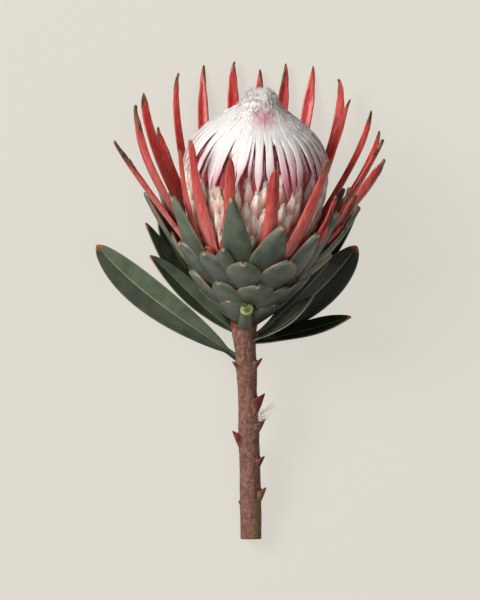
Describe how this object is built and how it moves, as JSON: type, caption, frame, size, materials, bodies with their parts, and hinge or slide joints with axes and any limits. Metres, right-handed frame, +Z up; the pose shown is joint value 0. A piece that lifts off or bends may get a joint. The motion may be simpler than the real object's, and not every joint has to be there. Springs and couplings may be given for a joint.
{
  "type": "protea flower",
  "caption": "Cut protea flower lying on its back: domed head with white silky top in a crown of long pink bracts over a cup of green scales, with leathery leaves on a woody stem.",
  "frame": {"origin": "on the surface that the flower lies on, under the centre of its bounding box", "axes": "+Z up; +Y from the stem's cut end towards the head; the front of the head faces up"},
  "size_m": [0.145, 0.2449, 0.0939],
  "materials": {
    "bark": "rough brown bark",
    "green_bract": "matt waxy green, red margins",
    "pink_bract": "satin fleshy pink to coral, brown dry tips",
    "floret": "downy pale pink",
    "silk": "white silky hair",
    "leaf": "satin dark green leathery leaf"
  },
  "bodies": {
    "root": {"stem": "bark", "green_bract_cup": "green_bract", "pink_bract_crown": "pink_bract", "floret_dome": "floret", "silk_crown": "silk", "leaf_left_broad": "leaf", "leaf_left_second": "leaf", "leaf_left_third": "leaf", "leaf_left_rear": "leaf", "leaf_right_broad": "leaf", "leaf_right_low": "leaf", "leaf_right_curled": "leaf", "leaf_right_upper": "leaf", "leaf_right_rear": "leaf", "cut_leaf_stalk": "leaf"}
  },
  "joints": []
}
